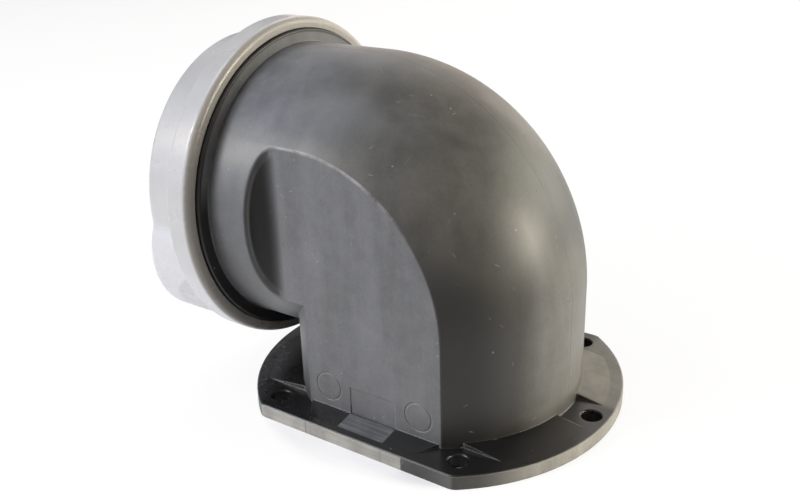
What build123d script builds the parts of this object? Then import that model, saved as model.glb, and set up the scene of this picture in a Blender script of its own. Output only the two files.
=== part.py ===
from build123d import *
import os

# Sizes in millimetres. The pieces are built about the upright leg's axis and then moved,
# so that the origin is the centre of the screw pattern on the flange underside.
# The outlet points along -X, the two flat sides face -Y and +Y, and +Z is up.

# Pipe run of the elbow
pipe_outer_r = 55.0
wall = 4.0
bend_r = 30.0
outlet_clearance = 10.1

# Flat on each side of the elbow, ending towards the outlet in a rounded cove
flat_depth = 8.4
flat_edge_round = 2.0
cove_inset = 17.0
cove_r = 8.0

# Collar at the outlet
outlet_length = 9.5
collar_width = 8.0
collar_rise = 4.8
collar_edge = 0.6

# Flange: a disc cut straight along two sides, set slightly towards the outlet
flange_shift = -1.6
flange_width = 17.2
flange_side = 11.8
flange_thickness = 5.4
flange_corner_r = 5.0
flange_edge = 0.5
rim_band = 5.0
foot_bead = 0.4
foot_end_gap = 4.0

# Raised webs between the screw pads, sloping from the pipe down to the rim band
web_height = 2.0
corner_pad_half = 7.4
end_pad_half = 8.5

# Sloped strip in front of each flat
strip_height = 1.2
strip_inner_half = 28.3
strip_outer_half = 22.3
strip_inset = 3.4

# Six screw holes, placed from the flange's edges
screw_r = 3.75
screw_edge = 0.4
corner_screw_side = 8.8
corner_screw_rim = 8.73
end_screw_rim = 6.4

# Shallow marks on each flat, left by the mould
notch_width = 20.0
notch_top = 17.4
notch_depth = 0.3
patch_depth = 0.25
pin_mark_r = 5.8
pin_mark_x = 19.8
pin_mark_z = 14.8
pin_mark_line = 0.6
pin_mark_depth = 0.2

# Grip ring pushed over the collar
ring_fit = 0.3
ring_back_gap = 1.4
ring_rim_wall = 4.3
ring_rim_lip = 3.5
ring_rim_round = 2.6
ring_rim_corner = 0.5
ring_nose_rise = 2.2
ring_nose_length = 18.4
ring_nose_round = 1.6
ring_nose_wall = 4.0
ring_stop = 1.6
ring_socket_depth = 12.0
ring_mouth_lead = 1.5

# Two finger lugs on the grip ring
lug_r = 30.0
lug_rise = 8.0
lug_angle = -33.0
lug_blend = 10.0
lug_lead_slope = 0.14

# Sizes that follow from the ones above
flat_half_width = pipe_outer_r - flat_depth
cove_x = cove_inset - pipe_outer_r
collar_back = pipe_outer_r + outlet_length
collar_front = collar_back + collar_width
collar_r = pipe_outer_r + collar_rise
ring_rim_r = collar_r + ring_fit + ring_rim_wall
ring_rim_front = collar_front + ring_rim_lip
ring_nose_r = pipe_outer_r + ring_nose_rise
ring_nose_end = ring_rim_front + ring_nose_length
ring_socket_r = ring_nose_r - ring_nose_wall
ring_bore_r = ring_socket_r - ring_stop
lug_reach = ring_nose_r + lug_rise
outlet_height = ring_rim_r + outlet_clearance
bend_height = outlet_height - bend_r
flange_r = pipe_outer_r + flange_width
flange_half_width = flat_half_width + flange_side
flange_top = flange_thickness
strip_front = flange_half_width - strip_inset
end_screw_x = flange_r - end_screw_rim
corner_screw_y = flange_half_width - corner_screw_side
corner_screw_x = ((flange_r - corner_screw_rim) ** 2 - corner_screw_y**2) ** 0.5
corner_pad_y = corner_screw_y - corner_pad_half
tall = 4 * pipe_outer_r


def along_outlet(distance):
    """Plane across the outlet axis, facing out of the outlet, its x towards -Y and its y up."""
    origin = (-distance, 0, outlet_height)
    return Plane(origin=origin, x_dir=(0, -1, 0), z_dir=(-1, 0, 0))


def flat_cutter(flat, cove):
    """Everything outside one flat side, with the rounded cove at its outlet end."""
    centre_y = -flat - cove
    beside = Pos(cove_x + tall / 2, -flat - tall / 2) * Rectangle(tall, tall)
    corner = Pos(cove_x, centre_y) * Circle(cove)
    behind = Pos(cove_x, centre_y - tall / 2) * Rectangle(2 * cove, tall)
    return Pos(0, 0, -tall / 2) * extrude(beside + corner + behind, 2 * tall)


def pipe_run(radius, flat, cove, outlet_end):
    """Solid of the upright leg, the bend and the outlet leg, with both sides flattened."""
    upright = extrude(Circle(radius), bend_height)
    outlet = extrude(along_outlet(bend_r) * Circle(radius), outlet_end - bend_r)
    bend_side = Pos(radius - bend_r, 0) * Rectangle(2 * radius, 2 * radius)
    bend_face = Pos(0, 0, bend_height) * (Circle(radius) & bend_side)
    bend_axis = Axis((-bend_r, 0, bend_height), (0, -1, 0))
    bend = revolve(bend_face, bend_axis, revolution_arc=90)
    near_cut = flat_cutter(flat, cove)
    far_cut = mirror(near_cut, about=Plane.XZ)
    return upright + bend + outlet - near_cut - far_cut


def rounded_flats(run):
    """The pipe run with the boundary of both flats rounded."""
    long_edges = []
    for edge in run.edges().filter_by(Axis.Z):
        middle = edge.center()
        if middle.X > 0 and abs(abs(middle.Y) - flat_half_width) < 0.01:
            long_edges.append(edge)
    return fillet(long_edges, flat_edge_round)


def foot():
    """Narrow sloped bead round the pipe where it stands on the flange, ending before the flats."""
    cone = Pos(0, 0, flange_top) * Cone(
        pipe_outer_r + foot_bead, pipe_outer_r, foot_bead, align=(Align.CENTER, Align.CENTER, Align.MIN)
    )
    return cone & Box(tall, 2 * (flat_half_width - foot_end_gap), tall)


def flange():
    """Flange plate with its sloped webs and strips, before the holes."""
    centre = Pos(flange_shift, 0)
    outline = Circle(flange_r) & Rectangle(2 * flange_r, 2 * flange_half_width)
    outline = fillet(outline.vertices(), flange_corner_r)
    plate = centre * extrude(outline, flange_thickness)
    plate = chamfer(plate.faces().sort_by(Axis.Z)[-1].edges(), flange_edge)

    web_foot_r = flange_r - rim_band
    cone = centre * Pos(0, 0, flange_top) * Cone(
        web_foot_r, pipe_outer_r, web_height, align=(Align.CENTER, Align.CENTER, Align.MIN)
    )
    web_width = corner_pad_y - end_pad_half
    web_middle = (corner_pad_y + end_pad_half) / 2
    for side in (-1, 1):
        plate += cone & (Pos(0, side * web_middle, flange_top) * Box(tall, web_width, tall))

    slope = Polygon(
        (0, 0), (strip_front, 0), (flat_half_width, strip_height), (0, strip_height), align=None
    )
    wedge = Pos(-tall / 2, 0, flange_top) * extrude(Plane.YZ * slope, tall)
    plan = Polygon(
        (-strip_inner_half, 0),
        (strip_inner_half, 0),
        (strip_inner_half, flat_half_width),
        (strip_outer_half, strip_front),
        (-strip_outer_half, strip_front),
        (-strip_inner_half, flat_half_width),
        align=None,
    )
    strip = wedge & (Pos(0, 0, flange_top) * extrude(plan, tall))
    return plate + strip + mirror(strip, about=Plane.XZ)


def screw_places():
    """Centres of the six screw holes, four near the corners and one at each end."""
    places = [(-end_screw_x, 0), (end_screw_x, 0)]
    for x in (-corner_screw_x, corner_screw_x):
        for y in (-corner_screw_y, corner_screw_y):
            places.append((x, y))
    return [(flange_shift + x, y) for x, y in places]


def side_marks():
    """Cutters for the notch, the patch below it and the two round pin marks of the near side."""
    wall_y = -flat_half_width
    notch_height = notch_top - flange_top
    notch = Pos(0, wall_y, flange_top + notch_height / 2) * Box(notch_width, 2 * notch_depth, notch_height)
    above_patch = Polygon(
        (wall_y, strip_height - patch_depth),
        (-strip_front, -patch_depth),
        (-strip_front, 2 * strip_height),
        (wall_y, 2 * strip_height),
        align=None,
    )
    patch = Pos(-notch_width / 2, 0, flange_top) * extrude(Plane.YZ * above_patch, notch_width)
    cutters = [notch, patch]
    for x in (-pin_mark_x, pin_mark_x):
        pin_plane = Plane(origin=(x, wall_y, pin_mark_z), z_dir=(0, 1, 0))
        pin_line = Circle(pin_mark_r) - Circle(pin_mark_r - pin_mark_line)
        cutters.append(extrude(pin_plane * pin_line, pin_mark_depth))
    return cutters


def elbow_body():
    """The one-piece moulded elbow with its flange and outlet collar."""
    body = rounded_flats(pipe_run(pipe_outer_r, flat_half_width, cove_r, collar_front))
    collar = extrude(along_outlet(collar_back) * Circle(collar_r), collar_width)
    body += fillet(collar.edges().filter_by(GeomType.CIRCLE), collar_edge)
    body += foot()
    body += flange()
    body -= pipe_run(pipe_outer_r - wall, flat_half_width - wall, cove_r + wall, collar_front)
    for x, y in screw_places():
        body -= Pos(x, y) * Cylinder(screw_r, 4 * flange_thickness)
        lead = Pos(x, y, flange_top - screw_edge) * Cone(
            screw_r, screw_r + 2 * screw_edge, 2 * screw_edge, align=(Align.CENTER, Align.CENTER, Align.MIN)
        )
        body -= lead
    for cutter in side_marks():
        body -= cutter
        body -= mirror(cutter, about=Plane.XZ)
    return body


def nose_outline():
    """Outline of the grip ring's nose: a circle with a blended finger lug on two sides."""
    outline = Circle(ring_nose_r)
    for turn in (lug_angle, lug_angle + 180):
        outline += Rot(0, 0, turn) * Pos(lug_reach - lug_r, 0) * Circle(lug_r)
    return fillet(outline.vertices(), lug_blend)


def outlet_ring():
    """Grip ring: a wide rim over the collar, and a narrower nose with two lugs that climb out of the rim."""
    rim_back = collar_back + ring_back_gap
    rim = extrude(along_outlet(rim_back) * Circle(ring_rim_r), ring_rim_front - rim_back)
    rim_edges = rim.edges().filter_by(GeomType.CIRCLE).sort_by(Axis.X)
    rim = fillet(rim_edges[-1], ring_rim_round)
    rim_edges = rim.edges().filter_by(GeomType.CIRCLE).sort_by(Axis.X)
    rim = fillet(rim_edges[0], ring_rim_corner)
    nose = extrude(along_outlet(collar_front) * nose_outline(), ring_nose_end - collar_front)
    nose = fillet(nose.faces().sort_by(Axis.X)[0].edges(), ring_nose_round)
    lead_base_r = ring_rim_r - ring_rim_corner - lug_lead_slope * ring_rim_lip
    lead_length = ring_nose_end - collar_front
    lug_lead = Cone(
        lead_base_r,
        lead_base_r + lug_lead_slope * lead_length,
        lead_length,
        align=(Align.CENTER, Align.CENTER, Align.MIN),
    )
    ring = rim + (nose & along_outlet(collar_front) * lug_lead)
    ring -= extrude(along_outlet(rim_back) * Circle(collar_r + ring_fit), collar_front - rim_back)
    ring -= extrude(along_outlet(collar_front) * Circle(ring_bore_r), ring_nose_end - collar_front)
    socket_start = ring_nose_end - ring_socket_depth
    ring -= extrude(along_outlet(socket_start) * Circle(ring_socket_r), ring_socket_depth)
    lead_in = Cone(
        ring_socket_r,
        ring_socket_r + ring_mouth_lead,
        ring_mouth_lead,
        align=(Align.CENTER, Align.CENTER, Align.MIN),
    )
    return ring - along_outlet(ring_nose_end - ring_mouth_lead) * lead_in


os.makedirs("parts", exist_ok=True)
to_pattern_centre = Pos(-flange_shift, 0, 0)
export_step(to_pattern_centre * elbow_body(), "parts/elbow_body.step")
export_step(to_pattern_centre * outlet_ring(), "parts/outlet_ring.step")
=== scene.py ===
import bmesh
import bpy
import math
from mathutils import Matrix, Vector


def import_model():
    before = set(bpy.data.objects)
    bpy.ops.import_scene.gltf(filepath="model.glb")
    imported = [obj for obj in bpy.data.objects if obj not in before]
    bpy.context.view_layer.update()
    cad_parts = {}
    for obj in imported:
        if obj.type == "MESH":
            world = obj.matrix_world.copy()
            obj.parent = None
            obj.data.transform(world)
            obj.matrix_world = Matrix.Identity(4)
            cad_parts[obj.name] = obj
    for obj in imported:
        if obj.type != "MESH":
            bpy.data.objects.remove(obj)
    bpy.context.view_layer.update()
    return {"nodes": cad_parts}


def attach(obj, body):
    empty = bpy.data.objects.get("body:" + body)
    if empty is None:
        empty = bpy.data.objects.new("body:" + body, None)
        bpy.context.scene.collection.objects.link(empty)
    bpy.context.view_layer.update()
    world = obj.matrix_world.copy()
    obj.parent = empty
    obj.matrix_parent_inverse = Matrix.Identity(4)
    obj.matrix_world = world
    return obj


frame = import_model()

# Camera, solved from the photograph's edges: place in metres, turn in degrees, lens in millimetres
CAMERA_PLACE = (0.18266, -0.28098, 0.19795)
CAMERA_TURN = (67.16, 1.634, 34.741)
CAMERA_LENS = 43.08
CAMERA_CLIP_START = 0.01
SENSOR_WIDTH = 36.0

# Sizes of the elbow in metres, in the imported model's frame
AXIS_X = 0.0016
PIPE_R = 0.055
BEND_R = 0.030
BEND_HEIGHT = 0.0445
OUTLET_HEIGHT = 0.0745
FLANGE_TOP = 0.0054
COLLAR_R = 0.0598
COLLAR_BACK = 0.0645
COLLAR_EDGE = 0.0006

# Ridge left by the mould's parting line, in metres, and its steps round the bend and the collar's edge
RIDGE_WIDTH = 0.0006
RIDGE_HEIGHT = 0.00005
RIDGE_SHOULDER = 0.2 * RIDGE_HEIGHT
RIDGE_DEPTH = 0.0003
BEND_STEPS = 48
COLLAR_STEPS = 6

# Places on the elbow in millimetres, for the zones of its material
MM_PER_METRE = 1000
UPRIGHT_X_MM = 1.6
OUTLET_Z_MM = 74.5
CORNER_SCREW_X_MM = 39.6
CORNER_SCREW_Y_MM = 49.6
END_SCREW_X_MM = 65.8
LEFT_WITNESS_X_MM = -20.7
RIGHT_WITNESS_X_MM = 12.8

# Colours of the dark plastic
BLACK = (0.006, 0.006, 0.0065, 1.0)
SATIN = (0.055, 0.0535, 0.051, 1.0)
HANDLED_AND_PAINTED_LIGHT = (0.138, 0.142, 0.151, 1.0)
SCUFFED_AND_PAINTED_LIGHT = (0.170, 0.173, 0.183, 1.0)
WEATHERED_AND_PAINTED_LIGHT = (0.24, 0.234, 0.22, 1.0)
RIM_WEAR_AND_PAINTED_LIGHT = (0.45, 0.432, 0.395, 1.0)
SCRATCH_AND_PAINTED_HIGHLIGHT = (0.34, 0.34, 0.335, 1.0)

# How far each zone of the dark plastic goes towards black: painted shade in the cove, the gap under the
# ring, the collar's lower part, the upright's foot and its corner towards the camera; the flange top, partly
# a darker finish and partly painted shade; and the rim's witness lines
ZONE_SHADE = {
    "dark_finish_and_shade": 0.97,
    "cove": 0.97,
    "gap": 0.95,
    "collar_low": 0.97,
    "foot": 0.6,
    "front_corner": 0.72,
    "witness": 0.6,
}

# Change of roughness in zones of the dark plastic
ZONE_ROUGHNESS = {"flange_top": -0.14, "end_web": 0.2, "rim": 0.1, "patch": 0.1}

# Colours of the grey plastic
GREY = (0.6, 0.607, 0.632, 1.0)
GREY_EDGE_HIGHLIGHT = (0.85, 0.85, 0.85, 1.0)
GREY_STAIN_AND_SHADE = (0.24, 0.225, 0.207, 1.0)

# Rounding of the edges in shading, and depth of the bump, in metres
EDGE_ROUND = 0.0006
RIDGE_EDGE_ROUND = 0.00002
BUMP_DISTANCE = 0.0001
BEVEL_SAMPLES = 6

# Floor: it turns grey past a slanting line at the front right, and shows white away from the middle
FLOOR_SIZE = 200.0
FLOOR_COLOUR = (0.92, 0.92, 0.92, 1.0)
FLOOR_FRONT_COLOUR = (0.4, 0.4, 0.4, 1.0)
FLOOR_BACK_WAY = (-0.6, 1.0, 0.0)
FLOOR_FRONT_FADE = (-0.19, -0.09)
FLOOR_WHITE_FADE = (0.068, 0.073)
FLOOR_WHITE_SHARE = 0.88
FLOOR_ROUGHNESS = 0.7
WHITE = (1, 1, 1, 1)
WORLD_LEVEL = 0.03

# Soft lamps round the object: azimuth and elevation in degrees, size in metres, power in watts and colour
LAMP_DISTANCE = 1.2
OBJECT_MIDDLE = Vector((-0.01, 0.0, 0.065))
LAMPS = {
    "right_front": (100, 14, 0.5, 4.2, (1.0, 0.94, 0.8)),
    "right_low": (113, 11, 0.42, 10.2, (1.0, 0.92, 0.76)),
    "right": (135, 27, 0.55, 3.4, (1.0, 0.97, 0.8)),
    "back_low_right": (150, 14, 0.55, 3.2, (1.0, 1.0, 0.92)),
    "back_low": (180, 14, 0.55, 2.3, (1.0, 0.9, 0.77)),
    "back_low_left": (210, 14, 0.55, 1.2, (1.0, 0.86, 0.77)),
    "back": (180, 40, 0.55, 0.8, (1.0, 0.87, 0.75)),
    "back_left": (210, 40, 0.55, 1.6, (1.0, 0.98, 0.96)),
    "left_back": (240, 40, 0.55, 0.6, (1.0, 1.0, 1.0)),
    "left_high": (300, 66, 0.55, 4.8, (0.86, 0.9, 1.0)),
    "left": (300, 40, 0.55, 1.5, (0.6, 0.76, 1.0)),
    "front_left_low": (325, 14, 0.55, 3.8, (0.72, 0.8, 1.0)),
    "front_left": (321, 27, 0.28, 6.9, (1.0, 0.94, 0.83)),
    "front": (342, 27, 0.55, 2.2, (1.0, 0.92, 0.8)),
    "front_left_high": (325, 40, 0.55, 1.9, (0.7, 0.79, 1.0)),
    "front_high": (40, 40, 0.55, 1.3, (1.0, 0.88, 0.72)),
}

# Stretch that makes a cell's chance of a scratch independent of the scratch's direction
CHANCE_STRETCH = 17.0

# Sockets of the Mix node when it mixes colours
MIX_FACTOR = 0
MIX_FIRST = 6
MIX_SECOND = 7
MIX_RESULT = 2


class Surface:
    """Builds one node material round its Principled shader."""

    def __init__(self, name):
        self.material = bpy.data.materials.new(name)
        self.material.use_nodes = True
        self.tree = self.material.node_tree
        self.shader = self.tree.nodes["Principled BSDF"]

    def feed(self, value, socket):
        """Link a socket, or set a number or colour."""
        if isinstance(value, bpy.types.NodeSocket):
            self.tree.links.new(value, socket)
        else:
            socket.default_value = value

    def place(self):
        """Object coordinates in metres."""
        return self.tree.nodes.new("ShaderNodeTexCoord").outputs["Object"]

    def units(self, size):
        """Object coordinates in units of a size in millimetres along X, Y and Z."""
        node = self.tree.nodes.new("ShaderNodeMapping")
        node.inputs["Scale"].default_value = [MM_PER_METRE / length for length in size]
        self.tree.links.new(self.place(), node.inputs["Vector"])
        return node.outputs["Vector"]

    def parts(self, vector):
        """X, Y and Z of a vector."""
        node = self.tree.nodes.new("ShaderNodeSeparateXYZ")
        self.tree.links.new(vector, node.inputs["Vector"])
        return node.outputs["X"], node.outputs["Y"], node.outputs["Z"]

    def normal(self):
        """Surface normal of the mesh."""
        return self.tree.nodes.new("ShaderNodeNewGeometry").outputs["Normal"]

    def rounded_normal(self, radius):
        """Surface normal with every edge rounded by a radius in metres."""
        node = self.tree.nodes.new("ShaderNodeBevel")
        node.samples = BEVEL_SAMPLES
        node.inputs["Radius"].default_value = radius
        return node.outputs["Normal"]

    def calculate(self, operation, first, second=0.0):
        """One Math node."""
        node = self.tree.nodes.new("ShaderNodeMath")
        node.operation = operation
        self.feed(first, node.inputs[0])
        self.feed(second, node.inputs[1])
        return node.outputs["Value"]

    def chain(self, operation, values):
        """One Math operation over two or more values, from first to last."""
        result = values[0]
        for value in values[1:]:
            result = self.calculate(operation, result, value)
        return result

    def product(self, *values):
        """Product of the values."""
        return self.chain("MULTIPLY", values)

    def total(self, *values):
        """Sum of the values."""
        return self.chain("ADD", values)

    def largest(self, *values):
        """Largest of the values."""
        return self.chain("MAXIMUM", values)

    def difference(self, first, second):
        """First value less the second."""
        return self.calculate("SUBTRACT", first, second)

    def absolute(self, value):
        """Value without its sign."""
        return self.calculate("ABSOLUTE", value)

    def length(self, first, second):
        """Length of a plane vector from its two parts."""
        return self.calculate("SQRT", self.total(self.product(first, first), self.product(second, second)))

    def vector(self, operation, first, second=None, result="Vector"):
        """One Vector Math node."""
        node = self.tree.nodes.new("ShaderNodeVectorMath")
        node.operation = operation
        self.feed(first, node.inputs[0])
        if second is not None:
            self.feed(second, node.inputs[1])
        return node.outputs[result]

    def dot(self, first, second):
        """Dot product of two vectors."""
        return self.vector("DOT_PRODUCT", first, second, "Value")

    def span(self, value, start, end, low=0.0, high=1.0, kind="SMOOTHSTEP"):
        """Step of a value, smooth by default, from low at start to high at end."""
        node = self.tree.nodes.new("ShaderNodeMapRange")
        node.interpolation_type = kind
        self.feed(value, node.inputs["Value"])
        node.inputs["From Min"].default_value = start
        node.inputs["From Max"].default_value = end
        node.inputs["To Min"].default_value = low
        node.inputs["To Max"].default_value = high
        return node.outputs["Result"]

    def blend(self, factor, first, second):
        """Colour between the first and the second."""
        node = self.tree.nodes.new("ShaderNodeMix")
        node.data_type = "RGBA"
        self.feed(factor, node.inputs[MIX_FACTOR])
        self.feed(first, node.inputs[MIX_FIRST])
        self.feed(second, node.inputs[MIX_SECOND])
        return node.outputs[MIX_RESULT]

    def noise(self, size, detail, roughness):
        """Noise with features of about a size in millimetres along X, Y and Z."""
        node = self.tree.nodes.new("ShaderNodeTexNoise")
        node.inputs["Scale"].default_value = 1.0
        node.inputs["Detail"].default_value = detail
        node.inputs["Roughness"].default_value = roughness
        self.tree.links.new(self.units(size), node.inputs["Vector"])
        return node.outputs["Fac"]

    def cells(self, place):
        """Voronoi cells about one unit of the place across."""
        node = self.tree.nodes.new("ShaderNodeTexVoronoi")
        node.inputs["Scale"].default_value = 1.0
        self.tree.links.new(place, node.inputs["Vector"])
        return node

    def specks(self, spacing, radius, share):
        """Sparse dots: spacing in millimetres, radius as a share of it, and share of cells with a dot."""
        cells = self.cells(self.units((spacing, spacing, spacing)))
        dot = self.span(cells.outputs["Distance"], radius, 0.6 * radius)
        chance = self.parts(cells.outputs["Color"])[0]
        return self.product(dot, self.calculate("LESS_THAN", chance, share))

    def nicks(self, spacing, width, reach, share):
        """Short straight scratches in all directions, sizes in millimetres, in a share of the cells."""
        place = self.units((spacing, spacing, spacing))
        cells = self.cells(place)
        offset = self.vector("SUBTRACT", place, cells.outputs["Position"])
        across = self.vector("SUBTRACT", cells.outputs["Color"], (0.5, 0.5, 0.5))
        across = self.vector("NORMALIZE", across)
        aside = self.absolute(self.dot(offset, across))
        away = self.vector("LENGTH", offset, result="Value")
        red = self.parts(cells.outputs["Color"])[0]
        chance = self.calculate("FRACT", self.product(red, CHANCE_STRETCH))
        lean = self.absolute(self.dot(across, self.normal()))
        return self.product(
            self.span(aside, width / spacing, 0.3 * width / spacing),
            self.span(away, reach / spacing, 0.4 * reach / spacing),
            self.calculate("LESS_THAN", chance, share),
            self.span(lean, 0.8, 0.6),
        )

    def edge(self, rounded, start, end):
        """Mask of the edges, from the angle between the normal and a rounded normal."""
        return self.span(self.dot(rounded, self.normal()), start, end)

    def bump(self, height, strength, normal):
        """Normal with a bump from a height."""
        node = self.tree.nodes.new("ShaderNodeBump")
        node.inputs["Distance"].default_value = BUMP_DISTANCE
        node.inputs["Strength"].default_value = strength
        self.tree.links.new(height, node.inputs["Height"])
        self.tree.links.new(normal, node.inputs["Normal"])
        return node.outputs["Normal"]


def elbow_zones(made):
    """Masks of the elbow's zones, by name. Each span fades between two places or two slopes."""
    x, y, z = made.parts(made.units((1, 1, 1)))
    normal_x, normal_y, normal_z = made.parts(made.normal())
    side = made.absolute(y)
    facing_side = made.absolute(normal_y)
    from_axis = made.difference(x, UPRIGHT_X_MM)
    above_outlet = made.difference(z, OUTLET_Z_MM)
    upright_r = made.length(from_axis, y)
    flange_r = made.length(x, y)
    outlet_r = made.length(y, above_outlet)
    outward = made.total(made.product(y, normal_y), made.product(above_outlet, normal_z))

    # Rim of the flange: rubbed pale at the front, with two dark witness lines, and painted light to the
    # right
    at_rim = made.largest(made.span(side, 57.7, 58.1), made.span(flange_r, 71.2, 71.6))
    rim = made.product(at_rim, made.span(z, 5.3, 4.8))
    rubbed = made.product(rim, made.span(y, -57.9, -58.2), made.span(x, 21.9, 21.4))
    left_line = made.span(made.absolute(made.difference(x, LEFT_WITNESS_X_MM)), 0.6, 0.2)
    right_line = made.span(made.absolute(made.difference(x, RIGHT_WITNESS_X_MM)), 0.5, 0.2, 0.0, 0.8)
    witness = made.product(made.largest(left_line, right_line), rubbed)
    sunlit = made.product(rim, made.span(x, 30.0, 68.0))

    # Patch on the sloped strip in front of each flat
    patch = made.product(
        made.span(made.absolute(from_axis), 10.2, 9.8),
        made.span(side, 46.8, 47.4),
        made.span(side, 55.2, 54.6),
        made.span(z, 5.2, 5.3),
    )

    # Top of the flange, with one paler web at its far right
    off_pipe = made.largest(
        made.span(upright_r, 55.4, 55.8),
        made.span(side, 46.9, 47.3),
        made.span(normal_z, 0.3, 0.6),
    )
    flange = made.product(off_pipe, made.span(z, 8.6, 7.8))
    flange_top = made.product(flange, made.difference(1.0, made.largest(rim, patch)))
    end_web = made.product(made.span(y, 6.0, 12.0), made.span(x, 38.0, 48.0), flange_top)

    # Screw holes
    corner_x = made.difference(made.absolute(x), CORNER_SCREW_X_MM)
    corner_hole = made.length(corner_x, made.difference(side, CORNER_SCREW_Y_MM))
    end_hole = made.length(made.difference(made.absolute(x), END_SCREW_X_MM), y)
    hole = made.span(made.calculate("MINIMUM", corner_hole, end_hole), 4.9, 4.4)

    # Flats, their upper edges, paled partly by rubbing and partly as a painted highlight, the band with the
    # mould marks, and the cove at the outlet end, which is darkened as painted shade
    on_flat = made.product(made.span(side, 50.0, 49.0), made.span(side, 44.0, 45.0))
    before_cove = made.span(from_axis, -43.0, -35.7)
    flat = made.product(made.span(facing_side, 0.95, 0.995), on_flat, before_cove)
    flat_edge = made.product(
        made.span(facing_side, 0.858, 0.89),
        made.span(facing_side, 0.998, 0.98),
        on_flat,
        made.span(from_axis, -38.0, -36.0),
        made.span(z, 78.0, 96.0, 0.04, 1.0),
    )
    engraved = made.product(on_flat, made.span(z, 36.0, 34.0), made.span(z, 9.0, 9.8))
    cove = made.product(
        made.difference(1.0, before_cove),
        made.span(outlet_r, 54.4, 52.8),
        made.span(outward, -2.0, 2.0),
    )

    # Collar: its lower part, and the gap under the ring, both darkened as painted shade
    past_tube = made.span(from_axis, -63.9, -64.4)
    gap = made.product(past_tube, made.span(outlet_r, 58.3, 58.8))
    collar_low = made.product(past_tube, made.span(outlet_r, 55.2, 55.7), made.span(z, 95.0, 76.0, 0.1, 1.0))

    # Upright: its foot and its corner towards the camera, darkened as painted shade, and its right side,
    # lightened as painted light
    foot = made.product(
        made.span(upright_r, 56.6, 56.0),
        made.span(facing_side, 0.95, 0.9),
        made.span(normal_z, 0.4, 0.2),
        made.span(z, 17.0, 6.5),
    )
    painted_light_right_side = made.product(made.span(from_axis, 47.0, 56.0, 0.0, 0.8), made.span(z, 95.0, 60.0))
    front_corner = made.product(
        made.span(normal_y, -0.4, -0.75),
        made.span(normal_x, 0.1, 0.4),
        made.span(normal_z, 0.45, 0.1),
    )
    return {
        "rim": rim,
        "rubbed": rubbed,
        "witness": witness,
        "sunlit": sunlit,
        "patch": patch,
        "flange_top": flange_top,
        "end_web": end_web,
        # Flange top, barring the end web: darkened, partly a darker finish and partly painted shade
        "dark_finish_and_shade": made.difference(flange_top, end_web),
        "hole": hole,
        "flat": flat,
        "flat_edge": flat_edge,
        "engraved": engraved,
        "cove": cove,
        "gap": gap,
        "collar_low": collar_low,
        "foot": foot,
        "bend": made.span(z, 52.0, 90.0),
        "handled_and_painted_light": made.span(from_axis, -10.0, -44.0),
        "painted_light_right_side": painted_light_right_side,
        "front_corner": front_corner,
    }


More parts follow.
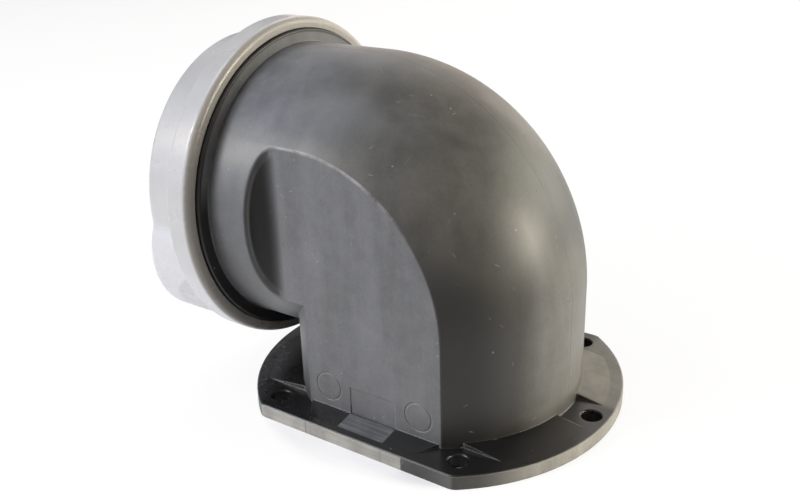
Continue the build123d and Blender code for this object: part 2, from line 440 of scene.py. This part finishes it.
def black_plastic(name, edge_radius):
    """Dark moulded plastic: satin on the pipe; scuffed on the flats and rubbed on the rim, both also
    lightened as painted light; black on the flange top, partly a darker finish and partly painted shade, and
    in painted shade in recesses and gaps.
    """
    made = Surface(name)
    zone = elbow_zones(made)
    mottle = made.noise((24, 24, 24), 5.0, 0.6)
    patches = made.noise((5, 5, 5), 4.0, 0.6)
    wiped = made.noise((10, 10, 55), 3.0, 0.5)
    drawn = made.noise((1.6, 1.6, 50), 2.0, 0.5)
    brushed = made.noise((30, 0.7, 0.7), 3.0, 0.6)
    grain = made.noise((0.8, 0.8, 0.8), 3.0, 0.6)

    # Base colour of each zone
    colour = made.blend(made.product(zone["bend"], 0.22), SATIN, WEATHERED_AND_PAINTED_LIGHT)
    # Outlet leg and collar: paler, partly from handling and partly as painted light
    colour = made.blend(zone["handled_and_painted_light"], colour, HANDLED_AND_PAINTED_LIGHT)
    # Upright's right side: painted light; the end web of the flange: paler
    colour = made.blend(made.largest(zone["painted_light_right_side"], zone["end_web"]), colour, WEATHERED_AND_PAINTED_LIGHT)
    # Flats: paler, partly scuffed and partly as painted light; the patch on the strip: paler
    colour = made.blend(made.largest(zone["flat"], zone["patch"]), colour, SCUFFED_AND_PAINTED_LIGHT)
    # Rim: rubbed paler at the front, and painted light at its right end
    rubbed = made.largest(zone["rubbed"], made.product(zone["sunlit"], 0.7))
    rubbed = made.product(rubbed, made.span(brushed, 0.25, 0.7, 0.7, 1.0))
    colour = made.blend(rubbed, colour, RIM_WEAR_AND_PAINTED_LIGHT)

    # Uneven darkening and dark specks; then painted shade in the cove, the gap, the collar's lower part, the
    # foot and the front corner; the flange top, partly a darker finish and partly painted shade; and the
    # witness lines
    shade = made.total(
        made.span(mottle, 0.25, 0.75, 0.1, 0.0),
        made.span(patches, 0.3, 0.7, 0.1, 0.0),
        made.span(wiped, 0.3, 0.7, 0.2, 0.0),
        made.span(drawn, 0.3, 0.7, 0.03, 0.0),
        made.span(grain, 0.3, 0.7, 0.1, 0.0),
        made.product(zone["patch"], made.span(brushed, 0.35, 0.65, 0.35, 0.0)),
    )
    shade = made.largest(shade, made.product(made.specks(6.0, 0.06, 0.3), 0.6))
    for area, amount in ZONE_SHADE.items():
        shade = made.largest(shade, made.product(zone[area], amount))
    colour = made.blend(shade, colour, BLACK)

    # Scratches and pale specks, edges paled partly by wear and partly as a painted highlight, the edges of
    # the mould marks, and the flats' upper edges, paled partly by rubbing and partly as a painted highlight
    long_nicks = made.product(made.nicks(14.0, 0.16, 3.6, 0.4), 0.5)
    short_nicks = made.nicks(5.5, 0.2, 1.2, 0.45)
    scratch = made.product(made.largest(long_nicks, short_nicks), made.span(mottle, 0.42, 0.6, 0.25, 1.0))
    rounded = made.rounded_normal(edge_radius)
    worn_and_highlighted_edge = made.product(
        made.edge(rounded, 0.97, 0.86),
        made.span(patches, 0.35, 0.6),
        made.span(made.largest(zone["hole"], zone["foot"]), 0.0, 0.6, 1.0, 0.08),
        made.span(zone["flange_top"], 0.0, 1.0, 1.0, 0.3),
    )
    mark_edge = made.product(made.edge(rounded, 0.995, 0.93), zone["engraved"])
    flat_edge = made.product(zone["flat_edge"], made.span(patches, 0.3, 0.7))
    pale = made.largest(
        made.product(scratch, 0.35),
        made.product(made.specks(7.0, 0.07, 0.35), 0.4),
        made.product(worn_and_highlighted_edge, 0.4),
        made.product(mark_edge, 0.42),
        made.product(flat_edge, 0.6),
    )
    made.feed(made.blend(pale, colour, SCRATCH_AND_PAINTED_HIGHLIGHT), made.shader.inputs["Base Color"])

    rough = made.total(made.span(mottle, 0.3, 0.7, 0.40, 0.48), made.span(patches, 0.3, 0.7, -0.02, 0.02))
    for area, change in ZONE_ROUGHNESS.items():
        rough = made.total(rough, made.product(zone[area], change))
    made.feed(rough, made.shader.inputs["Roughness"])

    height = made.total(made.product(grain, 0.25), made.product(drawn, 0.15), made.product(patches, 0.45))
    height = made.product(height, made.span(zone["flange_top"], 0.0, 1.0, 1.0, 0.25))
    height = made.difference(height, made.product(scratch, 0.4))
    made.feed(made.bump(height, 0.35, rounded), made.shader.inputs["Normal"])
    return made.material


def grey_plastic():
    """Pale grey moulded plastic: darker towards the top and at the back edge as painted shade, with stains,
    specks and nicks, and the edges of its front part paled as a painted highlight.
    """
    made = Surface("grey_plastic")
    x, _, z = made.parts(made.units((1, 1, 1)))
    mottle = made.noise((18, 18, 18), 5.0, 0.6)
    patches = made.noise((3, 3, 3), 4.0, 0.6)
    rings = made.noise((0.8, 40, 40), 2.0, 0.5)
    # Random stains, plus painted shade that darkens the ring towards the top
    stain_and_shade = made.total(made.span(mottle, 0.4, 0.8, 0.0, 0.12), made.span(z, 25.0, 110.0, 0.0, 0.5))
    stain_and_shade = made.largest(
        stain_and_shade,
        made.product(made.specks(6.0, 0.06, 0.3), 0.25),
        made.product(made.nicks(9.0, 0.14, 2.0, 0.4), 0.12),
        # Painted shade at the back edge, next to the collar
        made.span(x, -67.2, -65.2, 0.0, 0.9),
    )
    colour = made.blend(stain_and_shade, GREY, GREY_STAIN_AND_SHADE)
    rounded = made.rounded_normal(EDGE_ROUND)
    # Edges of the ring's front part paled as a painted highlight
    edge_highlight = made.product(made.edge(rounded, 0.995, 0.93), made.span(x, -68.0, -69.0))
    made.feed(made.blend(edge_highlight, colour, GREY_EDGE_HIGHLIGHT), made.shader.inputs["Base Color"])
    made.feed(made.span(mottle, 0.3, 0.7, 0.26, 0.32), made.shader.inputs["Roughness"])
    height = made.total(made.product(rings, 0.4), made.product(patches, 0.08))
    made.feed(made.bump(height, 0.08, rounded), made.shader.inputs["Normal"])
    return made.material


def quarter_turn(steps):
    """X and Z of unit vectors over a quarter turn, from +X up to +Z."""
    turns = [math.radians(90 * step / steps) for step in range(steps + 1)]
    return [(math.cos(turn), math.sin(turn)) for turn in turns]


def parting_line(material):
    """Thin moulded ridge in the plane of symmetry, from the foot over the bend to the collar's rim."""
    collar_x = AXIS_X - COLLAR_BACK
    collar_top = OUTLET_HEIGHT + COLLAR_R
    reach = BEND_R + PIPE_R
    path = [(AXIS_X + PIPE_R, FLANGE_TOP, 1, 0)]
    for out_x, out_z in quarter_turn(BEND_STEPS):
        path.append((AXIS_X - BEND_R + reach * out_x, BEND_HEIGHT + reach * out_z, out_x, out_z))
    path.append((collar_x, OUTLET_HEIGHT + PIPE_R, 1, 1))
    inner_x = collar_x - COLLAR_EDGE
    inner_z = collar_top - COLLAR_EDGE
    for out_x, out_z in quarter_turn(COLLAR_STEPS):
        path.append((inner_x + COLLAR_EDGE * out_x, inner_z + COLLAR_EDGE * out_z, out_x, out_z))
    path.append((collar_x - 2 * COLLAR_EDGE, collar_top, 0, 1))

    half = RIDGE_WIDTH / 2
    section = [
        (-half, -RIDGE_DEPTH),
        (-half, RIDGE_SHOULDER),
        (0, RIDGE_HEIGHT),
        (half, RIDGE_SHOULDER),
        (half, -RIDGE_DEPTH),
    ]
    points = []
    for x, z, out_x, out_z in path:
        for y, rise in section:
            points.append((x + out_x * rise, y, z + out_z * rise))
    count = len(section)
    faces = []
    for ring in range(len(path) - 1):
        for corner in range(count):
            here = ring * count + corner
            beside = ring * count + (corner + 1) % count
            faces.append((here, beside, beside + count, here + count))
    faces.append(tuple(range(count)))
    faces.append(tuple(range(len(points) - count, len(points))))
    mesh = bpy.data.meshes.new("parting_line")
    mesh.from_pydata(points, [], faces)
    shape = bmesh.new()
    shape.from_mesh(mesh)
    bmesh.ops.recalc_face_normals(shape, faces=shape.faces)
    shape.to_mesh(mesh)
    shape.free()
    mesh.materials.append(material)
    piece = bpy.data.objects.new("parting_line", mesh)
    bpy.context.collection.objects.link(piece)
    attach(piece, "root")


def paint(node, material):
    """Give a CAD node one material."""
    mesh = frame["nodes"][node].data
    mesh.materials.clear()
    mesh.materials.append(material)


def add_lamp(name, azimuth, elevation, size, power, colour):
    """Square soft lamp on a sphere round the object."""
    turn = math.radians(azimuth)
    rise = math.radians(elevation)
    away = Vector((math.sin(turn) * math.cos(rise), -math.cos(turn) * math.cos(rise), math.sin(rise)))
    data = bpy.data.lights.new(name, "AREA")
    data.shape = "SQUARE"
    data.size = size
    data.energy = power
    data.color = colour
    lamp = bpy.data.objects.new(name, data)
    lamp.location = OBJECT_MIDDLE + away * LAMP_DISTANCE
    lamp.rotation_euler = (-away).to_track_quat("-Z", "Y").to_euler()
    bpy.context.collection.objects.link(lamp)


def floor():
    """Pale floor with a faint shadow: white to the camera, and in mirrors except at the front right."""
    made = Surface("floor")
    made.shader.inputs["Roughness"].default_value = FLOOR_ROUGHNESS
    made.shader.inputs["Specular IOR Level"].default_value = 0.0
    place = made.place()
    front = made.span(made.dot(place, FLOOR_BACK_WAY), *FLOOR_FRONT_FADE, kind="LINEAR")
    made.feed(made.blend(front, FLOOR_FRONT_COLOUR, FLOOR_COLOUR), made.shader.inputs["Base Color"])

    rays = made.tree.nodes.new("ShaderNodeLightPath").outputs
    mirrored = made.product(rays["Is Glossy Ray"], front)
    seen = made.largest(rays["Is Camera Ray"], mirrored, rays["Is Transmission Ray"])
    distance = made.vector("LENGTH", place, result="Value")
    clear = made.span(distance, *FLOOR_WHITE_FADE, 0.0, FLOOR_WHITE_SHARE, kind="LINEAR")
    white = made.tree.nodes.new("ShaderNodeEmission")
    white.inputs["Color"].default_value = WHITE
    white.inputs["Strength"].default_value = 1.0
    choose = made.tree.nodes.new("ShaderNodeMixShader")
    made.feed(made.product(seen, clear), choose.inputs["Fac"])
    made.feed(made.shader.outputs["BSDF"], choose.inputs[1])
    made.feed(white.outputs["Emission"], choose.inputs[2])
    made.feed(choose.outputs["Shader"], made.tree.nodes["Material Output"].inputs["Surface"])

    bpy.ops.mesh.primitive_plane_add(size=FLOOR_SIZE, location=(0, 0, 0))
    plane = bpy.context.object
    plane.name = "floor"
    plane.data.materials.append(made.material)


def world():
    """Even dim surroundings."""
    scene_world = bpy.data.worlds.new("world")
    bpy.context.scene.world = scene_world
    scene_world.use_nodes = True
    background = scene_world.node_tree.nodes["Background"]
    background.inputs["Color"].default_value = WHITE
    background.inputs["Strength"].default_value = WORLD_LEVEL


def camera():
    """Camera at the photograph's place, turn and lens."""
    data = bpy.data.cameras.new("camera")
    data.sensor_width = SENSOR_WIDTH
    data.lens = CAMERA_LENS
    data.clip_start = CAMERA_CLIP_START
    eye = bpy.data.objects.new("camera", data)
    eye.location = CAMERA_PLACE
    eye.rotation_euler = [math.radians(angle) for angle in CAMERA_TURN]
    bpy.context.collection.objects.link(eye)
    bpy.context.scene.camera = eye


paint("elbow_body", black_plastic("black_plastic", EDGE_ROUND))
parting_line(black_plastic("black_plastic_ridge", RIDGE_EDGE_ROUND))
paint("outlet_ring", grey_plastic())
floor()
world()
for lamp_name, lamp_settings in LAMPS.items():
    add_lamp(lamp_name, *lamp_settings)
camera()
bpy.context.scene.view_settings.view_transform = "Standard"
